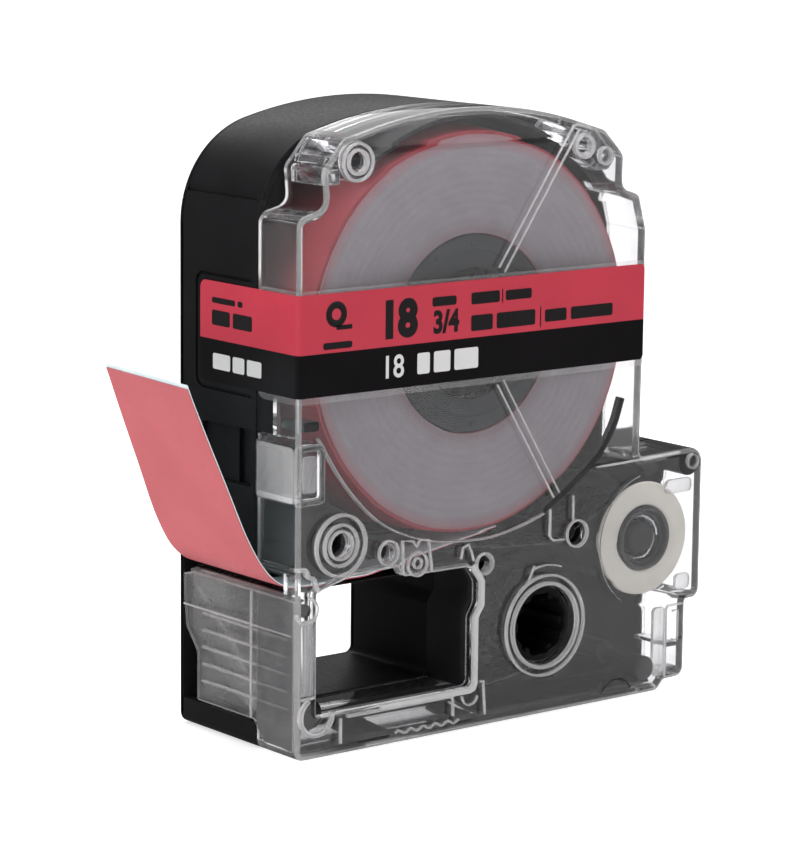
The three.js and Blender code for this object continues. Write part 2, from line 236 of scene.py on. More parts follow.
def slab(bm, outer, w0, w1, holes=(), soft=0.15, axis="y", mat=0, edge=None):
    """An outline with holes, made solid between two depths, with rounded front and back edges."""
    front, back = soft if isinstance(soft, tuple) else (soft, soft)
    edge = mat if edge is None else edge
    first = profile(front, w0, 1)
    last = profile(back, w1, -1)[::-1]
    place = AXES[axis]
    ends = []
    for loop, sign in [(outline(outer), 1), *((outline(h), -1) for h in holes)]:
        rows = []
        for by, w in first + last:
            rows.append([bm.verts.new(place(u, v, w)) for u, v in loop(by * sign)])
        for k in range(len(rows) - 1):
            bridge(bm, rows[k : k + 2], mat if k == len(first) - 1 else edge)
        ends.append((rows[0], rows[-1]))
    cap(bm, [e[0] for e in ends], mat)
    cap(bm, [e[1] for e in ends], mat)
    return bm


def tray(bm, outer, depth, openings, holes, soft, mats):
    """A front plate with a skirt round it and a rim round each opening, all in one closed piece."""
    body, highlight = mats
    fronts, floors = [], []
    lips = [(opening, -1, FRONT_RIM, FRONT_RIM_DEPTH) for opening in openings]
    for loop, sign, thick, deep in [(outer, 1, WALL, depth), *lips]:
        loop = outline(loop)
        steps = profile(soft if sign > 0 else 0.25, 0.0, 1)
        inner = [(thick * sign, deep - 0.1), (thick * sign, WALL)]
        steps += [(0.0, deep - 0.1), (0.1 * sign, deep), ((thick - 0.1) * sign, deep), *inner]
        rows = []
        for k, (by, w) in enumerate(steps):
            by = by * sign if k < 4 else by
            rows.append([bm.verts.new((u, w, v)) for u, v in loop(by)])
        for k in range(len(rows) - 1):
            # The rounded front edges and the rims' back ends take the milky material, as painted
            # highlight; so do the holes' front edges below.
            bridge(bm, rows[k : k + 2], highlight if k < 3 or 4 <= k <= 6 else body)
        fronts.append(rows[0])
        floors.append(rows[-1])
    for hole in holes:
        steps = [*profile(0.15, 0.0, 1), (0.0, WALL)]
        rows = [[bm.verts.new((u, w, v)) for u, v in hole(-by)] for by, w in steps]
        bridge(bm, rows[:4], highlight)
        bridge(bm, rows[3:], body)
        fronts.append(rows[0])
        floors.append(rows[-1])
    cap(bm, fronts, body)
    cap(bm, floors, body)
    return bm


def turned(bm, centre, corners, sides=96, mat=0, wave=None):
    """A closed profile of (radius, depth, fillet) corners, turned round the depth axis."""
    section = rounded(corners, sag=0.01)
    rows = []
    for k in range(sides):
        a = 2 * math.pi * k / sides
        row = []
        for r, w in section:
            r = wave(r, w, a) if wave else r
            row.append(bm.verts.new((centre[0] + r * math.cos(a), w, centre[1] + r * math.sin(a))))
        rows.append(row)
    bridge(bm, rows, mat, closed=True)
    return bm


def ring(bm, centre, outer, inner, w0, w1, soft=0.12, sides=96, mat=0, wave=None):
    corners = [(inner, w0, soft), (outer, w0, soft), (outer, w1, soft), (inner, w1, soft)]
    return turned(bm, centre, corners, sides, mat, wave)


def sweep(bm, path, section, mat=0):
    """A section of (sideways, depth) points carried along a path in the front view."""
    rows = []
    for i, (x, z) in enumerate(path):
        a, b = path[max(i - 1, 0)], path[min(i + 1, len(path) - 1)]
        dx, dz = unit(b[0] - a[0], b[1] - a[1])
        rows.append([bm.verts.new((x - dz * s, w, z + dx * s)) for s, w in section])
    bridge(bm, rows, mat)
    for row in (rows[0], rows[-1]):
        bm.faces.new(row).material_index = mat
    return bm


def band(width, w0, w1, soft=0.12):
    """The section of a rib, as sweep() takes it."""
    return rounded(rect(-width / 2, width / 2, w0, w1, soft), 0.0, 0.03)


def arc(centre, radius, start, end, steps=24):
    angles = [math.radians(start + (end - start) * k / steps) for k in range(steps + 1)]
    return [(centre[0] + radius * math.cos(a), centre[1] + radius * math.sin(a)) for a in angles]


def smooth_path(points, per=10):
    """A centripetal Catmull-Rom curve through the points."""
    pts = [Vector(p) for p in points]
    pts = [pts[0] * 2 - pts[1], *pts, pts[-1] * 2 - pts[-2]]
    out = []
    for i in range(1, len(pts) - 2):
        p = pts[i - 1 : i + 3]
        t = [0.0]
        for a, b in zip(p, p[1:]):
            t.append(t[-1] + max((b - a).length, 1e-6) ** 0.5)
        for k in range(per):
            s = t[1] + (t[2] - t[1]) * k / per
            a1 = p[0].lerp(p[1], (s - t[0]) / (t[1] - t[0]))
            a2 = p[1].lerp(p[2], (s - t[1]) / (t[2] - t[1]))
            a3 = p[2].lerp(p[3], (s - t[2]) / (t[3] - t[2]))
            b1 = a1.lerp(a2, (s - t[0]) / (t[2] - t[0]))
            b2 = a2.lerp(a3, (s - t[1]) / (t[3] - t[1]))
            out.append(tuple(b1.lerp(b2, (s - t[1]) / (t[2] - t[1]))))
    return [*out, tuple(pts[-2])]


def as_object(name, bm):
    bmesh.ops.recalc_face_normals(bm, faces=bm.faces)
    mesh = bpy.data.meshes.new(name)
    bm.to_mesh(mesh)
    bm.free()
    obj = bpy.data.objects.new(name, mesh)
    bpy.context.scene.collection.objects.link(obj)
    return obj


def cut(bm, *cutters):
    """bm less each of the cutters, which are closed solids."""
    obj = as_object("cut", bm)
    made = [as_object("cutter", c) for c in cutters]
    for tool in made:
        boolean = obj.modifiers.new("cut", "BOOLEAN")
        boolean.operation = "DIFFERENCE"
        boolean.solver = "EXACT"
        boolean.object = tool
    result = bmesh.new()
    result.from_mesh(obj.evaluated_get(bpy.context.evaluated_depsgraph_get()).to_mesh())
    for o in (obj, *made):
        bpy.data.objects.remove(o)
    bmesh.ops.remove_doubles(result, verts=result.verts, dist=0.0004)
    return result


def join(bm, other):
    """Adds another bmesh's faces to bm."""
    mesh = bpy.data.meshes.new("join")
    other.to_mesh(mesh)
    other.free()
    bm.from_mesh(mesh)
    bpy.data.meshes.remove(mesh)


def piece(name, bm, body, mats, replaces=(), blend=None):
    """Puts a drawing-frame mesh in the part's frame, as a named piece on a body."""
    move = Matrix.Translation((-ROLL[0], -DEPTH / 2, 0))
    bm.transform(Matrix.Scale(0.001, 4) @ move)
    obj = as_object(name, bm)
    for mat in mats:
        obj.data.materials.append(mat)
    obj.data.shade_smooth()
    obj.data.set_sharp_from_angle(angle=CREASE)
    if replaces:
        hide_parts(*replaces)
    if blend:
        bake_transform(obj)
    else:
        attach(obj, body)


def point(x, y, z):
    return ((x - ROLL[0]) / 1000, (y - DEPTH / 2) / 1000, z / 1000)


# ---- Materials -------------------------------------------------------------------------------


class Nodes:
    """Short hands for building one material's nodes."""

    def __init__(self, name):
        self.mat = bpy.data.materials.new(name)
        self.mat.use_nodes = True
        self.tree = self.mat.node_tree
        self.tree.nodes.clear()
        self.out = self.add("ShaderNodeOutputMaterial")
        self.coords = self.add("ShaderNodeTexCoord").outputs["Object"]

    def add(self, kind, **settings):
        node = self.tree.nodes.new(kind)
        for key, value in settings.items():
            setattr(node, key, value)
        return node

    def link(self, a, b):
        self.tree.links.new(a, b)

    def shader(self, color, rough, **inputs):
        node = self.add("ShaderNodeBsdfPrincipled")
        node.inputs["Base Color"].default_value = (*color, 1)
        node.inputs["Roughness"].default_value = rough
        for key, value in inputs.items():
            node.inputs[key.replace("_", " ").title().replace("Ior", "IOR")].default_value = value
        return node

    def noise(self, scale, detail):
        node = self.add("ShaderNodeTexNoise")
        node.inputs["Scale"].default_value = scale
        node.inputs["Detail"].default_value = detail
        self.link(self.coords, node.inputs["Vector"])
        return node.outputs["Fac"]

    def rings(self, centre, scale, distort=0.4):
        """Fine rings round the depth axis through a centre of the front view."""
        mapping = self.add("ShaderNodeMapping")
        x, _, z = point(centre[0], 0, centre[1])
        mapping.inputs["Location"].default_value = (-x, 0, -z)
        self.link(self.coords, mapping.inputs["Vector"])
        node = self.add("ShaderNodeTexWave", wave_type="RINGS", rings_direction="Y")
        node.inputs["Scale"].default_value = scale
        node.inputs["Distortion"].default_value = distort
        node.inputs["Detail"].default_value = 2
        node.inputs["Detail Scale"].default_value = 3
        self.link(mapping.outputs["Vector"], node.inputs["Vector"])
        return node.outputs["Fac"]

    def radius(self, centre):
        """The distance from a centre of the front view, in metres."""
        x, _, z = point(centre[0], 0, centre[1])
        sub = self.add("ShaderNodeVectorMath", operation="SUBTRACT")
        sub.inputs[1].default_value = (x, 0, z)
        flat = self.add("ShaderNodeVectorMath", operation="MULTIPLY")
        flat.inputs[1].default_value = (1, 0, 1)
        length = self.add("ShaderNodeVectorMath", operation="LENGTH")
        self.link(self.coords, sub.inputs[0])
        self.link(sub.outputs[0], flat.inputs[0])
        self.link(flat.outputs[0], length.inputs[0])
        return length.outputs["Value"]

    def span(self, fac, low, high, start=0.0, end=1.0):
        node = self.add("ShaderNodeMapRange")
        node.inputs["From Min"].default_value = start
        node.inputs["From Max"].default_value = end
        node.inputs["To Min"].default_value = low
        node.inputs["To Max"].default_value = high
        self.link(fac, node.inputs["Value"])
        return node.outputs["Result"]

    def blend(self, fac, a, b):
        """Two colours mixed by a factor; each may be a colour or an output."""
        node = self.add("ShaderNodeMix", data_type="RGBA")
        self.link(fac, node.inputs["Factor"])
        for socket, value in ((node.inputs[6], a), (node.inputs[7], b)):
            if isinstance(value, tuple):
                socket.default_value = (*value, 1)
            else:
                self.link(value, socket)
        return node.outputs[2]

    def bump(self, shader, height, distance, strength=1.0):
        node = self.add("ShaderNodeBump")
        node.inputs["Distance"].default_value = distance
        node.inputs["Strength"].default_value = strength
        self.link(height, node.inputs["Height"])
        self.link(node.outputs["Normal"], shader.inputs["Normal"])

    def done(self, shader):
        self.link(shader.outputs[0], self.out.inputs["Surface"])
        return self.mat


def moulded(name, color, rough, grain=2600, spread=0.08, bump=0.000004, tone=0.25, **inputs):
    """Moulded plastic: a fine grain, uneven gloss and a faint drift of tone."""
    n = Nodes(name)
    shader = n.shader(color, rough, **inputs)
    fine = n.noise(grain, 4)
    broad = n.noise(120, 2)
    n.link(n.span(fine, rough - spread, rough + spread, 0.3, 0.7), shader.inputs["Roughness"])
    pale = tuple(min(1, c * (1 + tone)) for c in color)
    n.link(n.blend(n.span(broad, 0, 1, 0.35, 0.65), color, pale), shader.inputs["Base Color"])
    n.bump(shader, fine, bump)
    return n.done(shader)


def clear(name, tint, haze, rough):
    """Clear moulded plastic: smooth glass that lets light through to what is behind it."""
    n = Nodes(name)
    shader = n.shader(tint, rough, transmission_weight=1 - haze, ior=1.46, specular_ior_level=0.2)
    cloud = n.noise(420, 3)
    dark = tuple(c * 0.93 for c in tint)
    n.link(n.blend(n.span(cloud, 0, 1, 0.3, 0.7), dark, tint), shader.inputs["Base Color"])
    n.bump(shader, n.noise(160, 2), 0.00002, 0.05)
    path = n.add("ShaderNodeLightPath")
    through = n.add("ShaderNodeBsdfTransparent")
    through.inputs["Color"].default_value = SHADOW_TINT
    mix = n.add("ShaderNodeMixShader")
    n.link(path.outputs["Is Shadow Ray"], mix.inputs[0])
    n.link(shader.outputs[0], mix.inputs[1])
    n.link(through.outputs[0], mix.inputs[2])
    return n.done(mix)


def wound(name, face, dark, rough, centre, pitch_scale, **inputs):
    """The edges of wound film: fine uneven rings with specks between them."""
    n = Nodes(name)
    shader = n.shader(face, rough, **inputs)
    lines = n.rings(centre, pitch_scale, 0.9)
    specks = n.noise(3200, 3)
    broad = n.noise(90, 2)
    color = n.blend(n.span(lines, 0, 0.5), face, dark)
    pale = tuple(min(1, c * 1.25) for c in face)
    color = n.blend(n.span(specks, 0, 0.5, 0.35, 0.75), color, pale)
    n.link(color, shader.inputs["Base Color"])
    n.link(n.span(broad, rough - 0.08, rough + 0.08, 0.3, 0.7), shader.inputs["Roughness"])
    n.bump(shader, lines, 0.00001, 0.5)
    return n.done(shader)


def frosted(name, face, dark, rough):
    """A frosted film disc, through which the red tape glows at the roll's rim and at its core."""
    n = Nodes(name)
    shader = n.shader(face, rough, specular_ior_level=0.25)
    away = n.radius(ROLL)
    grain = n.noise(5200, 4)
    color = n.blend(n.span(n.rings(ROLL, 300, 1.2), 0, 0.5), face, dark)
    color = n.blend(n.span(grain, 0, 0.35, 0.4, 0.7), color, tuple(c * 1.5 for c in face))
    color = n.blend(n.span(away, 0, 0.55, 0.0212, 0.0226), color, (0.42, 0.1, 0.125))
    color = n.blend(n.span(away, 0.4, 0, 0.0114, 0.0132), color, (0.2, 0.06, 0.075))
    n.link(color, shader.inputs["Base Color"])
    n.bump(shader, grain, 0.000003)
    return n.done(shader)


BLACK = moulded("black_shell_plastic", (0.009, 0.009, 0.01), 0.4, specular_ior_level=0.2)
BLACK_GLOSS = moulded(
    "black_gloss_plastic",
    (0.006, 0.006, 0.007),
    0.22,
    spread=0.04,
    bump=0.000001,
    specular_ior_level=0.3,
)
CLEAR = clear("clear_cover_plastic", (0.97, 0.97, 0.98), 0.008, 0.05)
# A milkier copy of the clear plastic, laid on the cover's edges, rims and fine lines as a painted
# highlight.
PAINTED_HIGHLIGHT = clear("clear_painted_highlight", (0.92, 0.91, 0.91), 0.25, 0.14)
FROST = clear("clear_frost_plastic", (0.9, 0.9, 0.9), 0.5, 0.22)
PANEL = clear("clear_side_plastic", (0.95, 0.945, 0.945), 0.035, 0.12)
CORE_GREY = moulded(
    "core_grey_plastic", (0.017, 0.018, 0.02), 0.5, grain=3600, tone=1.2, specular_ior_level=0.3
)
SPOOL = moulded(
    "spool_grey_plastic", (0.014, 0.014, 0.016), 0.25, spread=0.05, specular_ior_level=0.35
)
CREAM = moulded("flange_cream_plastic", (0.74, 0.71, 0.64), 0.5, tone=0.06)
RUBBER = moulded("platen_rubber_black", (0.01, 0.01, 0.01), 0.78, grain=5200, bump=0.000012)
INK_EDGE = wound("ink_ribbon_turns", (0.008, 0.008, 0.009), (0.03, 0.03, 0.035), 0.3, SUPPLY, 700)
INK_WEB = moulded("ink_ribbon_film", (0.008, 0.008, 0.01), 0.25, grain=900, bump=0.000003)
# The tape's own red, made darker as painted shade for the roll's outer turn, which lies in shade under
# the top of the cover.
ROLL_RED = wound("tape_roll_red", (0.36, 0.02, 0.036), (0.25, 0.014, 0.026), 0.4, ROLL, 500)
FILM_FACE = frosted("film_disc_frosted", (0.3, 0.272, 0.294), (0.26, 0.233, 0.256), 0.5)
STEEL = moulded("spring_steel_wire", (0.5, 0.51, 0.52), 0.28, metallic=1.0, tone=0.1)
FILM = moulded(
    "tape_film_red", (0.545, 0.128, 0.144), 0.34, grain=1500, spread=0.05, bump=0.000002, tone=0.08
)
LINER = moulded("tape_liner_pale", (0.68, 0.8, 0.82), 0.55, grain=1800, bump=0.000002, tone=0.05)
LABEL_RED = moulded(
    "label_red", (0.56, 0.03, 0.06), 0.4, grain=1700, spread=0.06, bump=0.000002, tone=0.07
)
LABEL_BLACK = moulded(
    "label_black",
    (0.006, 0.005, 0.006),
    0.36,
    grain=1700,
    spread=0.06,
    bump=0.000002,
    specular_ior_level=0.2,
)
INK_PRINT = moulded("print_black", (0.01, 0.008, 0.009), 0.42, grain=1700, bump=0.000001)
WHITE_PRINT = moulded("print_white", (0.72, 0.71, 0.71), 0.42, grain=1700, bump=0.000001, tone=0.04)
MARGIN = clear("label_margin_film", (0.95, 0.94, 0.94), 0.02, 0.1)

# ---- Rear shell ------------------------------------------------------------------------------


def box_cutter(x0, x1, y0, y1, z0, z1):
    return slab(bmesh.new(), rect(x0, x1, z0, z1, 0.25), y0, y1, soft=0.0)


def side_cutter(x0, x1, corners):
    return slab(bmesh.new(), corners, x0, x1, soft=0.0, axis="x")


def back_grooves():
    """Cutters for the flat back: rings round the hub and drive holes, and ejector-pin marks."""
    made = []
    for centre, radius in ((ROLL, 10.1), (ROLL, 7.4), (TAKEUP, 5.9), (PLATEN, 2.6), (SUPPLY, 4.4)):
        made.append(ring(bmesh.new(), centre, radius + 0.2, radius - 0.2, 22.8, 23.4, 0.05, 64))
    for x, z in ((6, 58), (46, 60), (30.4, 66.3), (8, 34), (45, 33), (57, 5), (30, 3)):
        made.append(slab(bmesh.new(), disc(x, z, 1.3, 32), 22.88, 23.4, soft=0.0))
    return made


def rear_shell():
    """The black tray: its wall, back plate, face plate behind the cover and head opening."""
    bm = slab(bmesh.new(), SHELL, FACE, 22.4, holes=[inset(SHELL, WALL)], soft=(0.12, 0))
    inner = [rect(5.4, 19, 40.5, 53.1, 1.1)]  # a fine groove round the label
    bm = cut(
        bm,
        side_cutter(-1, WALL + 0.3, rect(*SIDE_RECESS)),
        side_cutter(-1, 0.5, rect(8.6, 18, 30, 36.4, 0.5)),
        side_cutter(-1, 0.94, rect(8.4, 11.6, 30.1, 36.5, 0.1)),
        slab(bmesh.new(), rect(5, 19.4, 40.1, 53.5, 1.4), -1, 0.35, inner, 0.0, "x"),
        side_cutter(-1, 0.9, rect(4, 24, 62.2, 63.2, 0.05)),
    )
    holes = [HEAD, disc(*TAKEUP, 4.8), disc(*PLATEN, 1.6, 32)]
    back = slab(bmesh.new(), SHELL, 21.9, DEPTH, holes=holes, soft=(0, 0.8))
    join(bm, cut(back, *back_grooves()))
    face = slab(bmesh.new(), inset(SHELL, 0.06), 7.86, 8.8, [inset(COVER, 1.15)], (0.1, 0))
    join(bm, cut(face, side_cutter(-1, WALL + 0.3, rect(*SIDE_RECESS))))
    slab(bm, inset(HEAD, -RIM), FACE, 22.2, holes=[HEAD], soft=(0.1, 0))
    walled = [(25.4, 4.7), (25.4, 13.5), (26.4, 15), (26.4, 17.3), (24.8, 19.7), (17, 19.7)]
    slab(bm, rect(4.9, 8, 36.6, 40.9, 0.2), 0.1, 0.95, soft=0.1, axis="x")
    sweep(bm, walled, band(0.8, 1.7, 8.0, 0.1))
    return bm


def shell_inside(bm):
    """The spindles, pins, posts and ribs that the black tray carries."""
    ring(bm, ROLL, 7.2, 6.2, 4, 9, 0.25)
    hub = [(6.2, 8, 0.2), (HUB, 8, 0.4), (HUB, 22.2, 0.1), (6.2, 22.2, 0.1)]
    turned(bm, ROLL, hub)
    for k in range(6):  # catches that hold the core's spring
        a = math.radians(60 * k + 20)
        x, z = ROLL[0] + 6.7 * math.cos(a), ROLL[1] + 6.7 * math.sin(a)
        slab(bm, disc(x, z, 0.55, 20), 3.2, 5, soft=0.2)
    slab(bm, disc(*SUPPLY, 2.5), 5, POST_END, soft=0.3)
    slab(bm, disc(*SUPPLY, 2.0), 2.2, 6, soft=0.4)
    ring(bm, PLATEN, 3.3, 2.5, 21.2, POST_END)
    for (x, z), radius in ((LEFT_GUIDE, 1.1), (RIGHT_GUIDE, 1.2), (TOP_GUIDE, 0.9)):
        slab(bm, disc(x, z, radius, 32), 1.5, POST_END, soft=0.25)
    for x, z, radius in ((*BOSS, 1.7), (44.9, 65.6, 1.5), (58.6, 26.6, 1.5), (53.4, 3.4, 1.5)):
        slab(bm, disc(x, z, radius, 32), FACE, POST_END, soft=0.25)
    sweep(bm, arc(ROLL, 23.9, 200, 318, 60), band(0.7, 12, POST_END))
    sweep(bm, arc(ROLL, 24.6, 42, 128, 40), band(0.5, 3.2, POST_END))
    sweep(bm, [(27.5, 1.3), (54.2, 1.3)], band(0.4, 1.5, 7.9, 0.1))
    for x in (30.5, 45.5):
        sweep(bm, [(x, 1.2), (x, 4.8)], band(0.7, 9, POST_END))
    return bm


piece(
    "shell_black",
    shell_inside(rear_shell()),
    "housing",
    [BLACK],
    ["rear_shell"],
)

# ---- Clear front cover -----------------------------------------------------------------------

# The second material, the milky clear plastic, paints highlights on the cover's edges, rims and fine
# lines.
CLEAR_MATS = [CLEAR, PAINTED_HIGHLIGHT, PANEL, BLACK_GLOSS, FROST]
BODY, HIGHLIGHT, SIDE, DARK, PALE = range(5)


def cover():
    """The clear tray, with its holes and the gaps in its left wall for the tape and the catch."""
    holes = [
        disc(*TAKEUP, 4.8),
        disc(*PLATEN, 1.45, 32),
        disc(*BOSS, 1.15, 32),
        disc(*TAB_HOLE, 1.1, 32),
        disc(*LEFT_GUIDE, 0.95, 32),
        disc(*RIGHT_GUIDE, 1.4, 32),
        disc(27, 19.35, 0.92, 32),
    ]
    bm = tray(bmesh.new(), COVER, PARTING, [HEAD_FRONT], holes, 0.5, (BODY, HIGHLIGHT))
    return cut(
        bm,
        side_cutter(-1, WALL + 0.3, rect(2.5, 9, 18.3, 21.2, 0.3)),
        side_cutter(-1, WALL + 0.3, rect(4.6, 9, 36.4, 41, 0.3)),
        box_cutter(1.1, 18, 2.5, 9, 18.3, 22),
    )


def frame_line(bm, points, width=0.3, w0=-0.18, w1=0.3, mat=HIGHLIGHT):
    """A fine raised line on the cover's front, by default in the milky material as a painted highlight.
    """
    sweep(bm, points, band(width, w0, w1, 0.08), mat)


def cover_rings(bm):
    """The raised rings round the cover's holes, and the boss in its top left corner."""
    for centre, outer, inner in (
        (TAKEUP, 6.15, 5.85),
        (TAKEUP, 5.25, 4.8),
        (PLATEN, 3.65, 3.25),
        (PLATEN, 2.5, 2.15),
        (PLATEN, 1.75, 1.45),
        (BOSS, 2.2, 1.9),
        (BOSS, 1.5, 1.15),
        (LEFT_GUIDE, 1.5, 1.25),
        (RIGHT_GUIDE, 1.7, 1.5),
        ((27, 19.35), 1.35, 1.12),
        ((17.0, 20.6), 1.5, 1.25),
        ((17.0, 20.7), 0.7, 0.45),
    ):
        # The rings take the milky material, as a painted highlight.
        ring(bm, centre, outer, inner, RAISED, 0.2, 0.1, 64, HIGHLIGHT)
    slab(bm, disc(*BOSS, 2.3, 48), 0.4, 7.2, [disc(*BOSS, 1.25, 32)], mat=BODY, edge=HIGHLIGHT)


def cover_ribs(bm):
    """The paired ribs over the roll, the chamber's edge below it and the lines beside it."""
    for a, b in (((40.0, 69.2), (29.0, 53.4)), ((29.0, 40.4), (37.9, 26.2))):
        dx, dz = unit(b[0] - a[0], b[1] - a[1])
        for side in (-0.5, 0.5):
            line = [(a[0] - dz * side, a[1] + dx * side), (b[0] - dz * side, b[1] + dx * side)]
            frame_line(bm, line, 0.16)
    left = [(3.0, 36.4), (5.9, 31.9), (8.7, 28.6), (11.6, 26.1), (14.5, 24.5)]
    foot = [(18.9, 23.0), (23.3, 22.4), (27.8, 22.3), (32.4, 23.0), (36.2, 24.1)]
    frame_line(bm, smooth_path(left + foot, 5), 0.2, 0.0, 1.2)
    strip = smooth_path([(48.5, 36.6), (47.2, 33.2), (44.7, 29.9), (40.0, 26.5), (36.6, 24.5)], 6)
    sweep(bm, strip, band(0.8, 0.95, 2.0), DARK)
    frame_line(bm, [(37.0, 24.6), (37.0, 21.3), (37.5, 20.8), (39.2, 20.7)], 0.25)
    frame_line(bm, [(40.6, 25.8), (40.6, 22.9)], 0.22)
    frame_line(bm, [(44.2, 28.8), (49.8, 28.9), (57.6, 29.2)], 0.2)
    frame_line(bm, [(34.7, 18.1), (33.8, 16.3)], 0.2)
    frame_line(bm, arc(TAKEUP, 7.2, 70, 106, 10), 0.2)
    tab = [(15.0, 19.6), (14.9, 23.5), (16.4, 23.3), (16.9, 22.6), (17.4, 23.3), (18.7, 23.2)]
    frame_line(bm, [*tab, (19.2, 19.5)], 0.28)
    frame_line(bm, [(23.5, 20.3), (23.8, 21.6), (24.6, 21.9), (25.1, 20.9), (25.4, 19.9)], 0.25)


def cover_bottom(bm):
    """The rims, slots and small frames along the foot of the cover."""
    frame_line(bm, arc((2.7, 5.0), 2.2, 120, 365, 24), 0.5, RAISED)
    frame_line(bm, arc((1.35, 17.2), 1.45, -170, 80, 20), 0.35)
    frame_line(bm, [(0.5, 15.9), (2.6, 16.1)], 0.3)
    frame_line(bm, [(0.6, 7.1), (2.5, 7.2)], 0.3)
    frame_line(bm, [(6.2, 4.2), (6.2, 1.3)], 0.3)
    frame_line(bm, [(22.5, 4.2), (22.6, 1.9)], 0.3)
    frame_line(bm, arc((25.1, 4.0), 1.15, 180, 350, 12), 0.22)
    frame_line(bm, [(26.6, 5.4), (27.1, 5.5), (27.4, 1.4)], 0.25)
    frame_line(bm, [(7.2, 4.25), (22.3, 4.25)], 0.35, -0.1, 0.6)
    teeth = [(14.1 + 0.39 * k, 1.25 + 0.22 * math.sin(k * 1.35)) for k in range(25)]
    frame_line(bm, teeth, 0.3, -0.12)
    slab(bm, disc(2.7, 5.0, 1.7, 40), 1.1, 6.6, soft=0.2, mat=DARK)
    slab(bm, disc(1.75, 17.0, 0.75, 32), 1.1, 3.0, soft=0.15, mat=DARK)
    slab(bm, rect(1.02, 2.72, 7.2, 15.5, 0.2), 1.1, 2.4, soft=0.15, mat=HIGHLIGHT)
    sweep(bm, [(24.6, 4.5), (2.4, 4.5), (2.4, 19.4)], band(0.8, 1.5, 7.4, 0.1), BODY)
    slab(bm, rect(9.6, 14.0, 0.55, 1.6, 0.3), 1.4, 6.8, mat=DARK)
    slab(bm, rect(23.5, 26.2, 0.6, 1.6, 0.3), 1.4, 6.8, mat=DARK)
    sweep(bm, arc((48.5, -0.4), 2.7, 30, 150, 18), band(0.3, 0.95, 2.2), DARK)
    side = [(25.5, 19.3), (26.85, 17.3), (26.85, 14.5), (25.95, 13.1), (25.95, 5.2)]
    frame_line(bm, [*side, (25.7, 4.7), (25.2, 4.5), (12, 4.5)], 0.6, -0.08, 0.5, PALE)
    slab(bm, disc(53.3, 2.9, 1.45, 40), 1.1, 7.3, soft=0.3, mat=DARK)


def cover_right(bm):
    """The right bulge: the boss in its top corner, the frames in its step, and patches of the milky
    material in its corners as painted highlights.
    """
    slab(bm, disc(59.6, 27.7, 1.65, 40), 0.9, 7.3, [disc(59.9, 27.8, 0.8, 24)], mat=DARK)
    ring(bm, (59.9, 27.8), 0.95, 0.75, -0.1, 1.2, 0.06, 40, HIGHLIGHT)
    frame_line(bm, [(58.6, 10.4), (56.2, 10.4), (55.9, 10.0), (55.9, 1.6)], 0.25)
    frame_line(bm, rounded(rect(57.0, 57.9, 6.0, 9.7))[:-1], 0.18)
    slab(bm, rect(56.5, 58.2, 5.1, 5.6, 0.1), 0.9, 6.8, soft=0.08, mat=BODY)
    slab(bm, rect(57.3, 58.2, 2.1, 2.6, 0.1), 0.9, 6.8, soft=0.08, mat=BODY)
    frame_line(bm, arc(SUPPLY, 8.3, 105, 235, 30), 0.12, -0.05, 0.2, BODY)
    for corner in (rect(56.0, 60.3, 24.0, 25.8, 0.7), rect(57.8, 60.3, 12.0, 14.0, 0.7)):
        slab(bm, corner, 1.05, 1.6, soft=0.2, mat=HIGHLIGHT)
    slab(bm, rect(54.4, 56.4, 1.7, 10.2, 0.6), 1.05, 1.6, soft=0.2, mat=HIGHLIGHT)


def cover_top(bm):
    """The two corner catches at the top of the clear cover."""
    tab = [
        (39.0, 68.0, 0.6),
        (40.2, 65.6, 0.6),
        (43.6, 63.9, 0.5),
        (45.4, 63.9, 0.8),
        (46.6, 65.3, 0.8),
        (43.6, 68.7, 0.8),
        (40.4, 69.4, 0.6),
    ]
    holes = [disc(*TAB_HOLE, 1.2, 32), disc(*TAB_PIN, 0.85, 32)]
    slab(bm, tab, 0.9, 7.3, holes, soft=0.2, mat=BODY, edge=HIGHLIGHT)
    ring(bm, TAB_HOLE, 1.5, 1.15, RAISED / 2, 1.1, 0.1, 48, HIGHLIGHT)
    ring(bm, TAB_PIN, 1.1, 0.85, RAISED / 2, 1.1, 0.1, 48, HIGHLIGHT)
    for z0, z1, back in ((64.3, 66.0, 6.8), (66.3, 67.5, 6.6)):
        slab(bm, rect(4.3, 6.2, z0, z1, 0.3), 1.1, back, mat=BODY, edge=HIGHLIGHT)


def latch_block(bm):
    """The small clear block in the left edge, above the tape exit."""
    shelf = [rect(0.7, 3.1, 29.8, 35.1, 0.4)]
    # The milky material on the block's edges and on two of its thin plates is a painted highlight.
    slab(bm, rect(-0.22, 3.9, 29.0, 35.9, 0.6), 0.1, 7.6, shelf, soft=0.2, mat=BODY, edge=HIGHLIGHT)
    slab(bm, rect(0.9, 2.9, 30.4, 34.6, 0.5), 0.4, 1.2, soft=0.15, mat=HIGHLIGHT)
    slab(bm, rect(0.5, 7.3, 29.3, 35.6, 0.8), -0.24, -0.02, soft=0.06, axis="x", mat=HIGHLIGHT)
    slab(bm, rect(0.7, 7.2, 29.4, 30.0, 0.2), -0.3, 0.6, soft=0.1, axis="x", mat=PALE)
    slab(bm, rect(1.2, 3.4, 37.2, 38.4, 0.4), 0.95, 4.2, soft=0.2, mat=DARK)


SIDE_OUTLINE = [
    (0.6, 0.9, 0.5),
    (6.0, 0.9, 0.8),
    (7.6, 2.7, 0.5),
    (8.2, 3.3, 0.3),
    (19.2, 3.3, 0.3),
    (19.2, 9.0, 0.5),
    (21.4, 11.7, 0.5),
    (21.8, 14.7, 0.5),
    (21.9, 17.9, 0.3),
    (20.6, 18.2, 0.3),
    (20.2, 18.4, 0.2),
    (0.6, 18.4, 0.2),
]


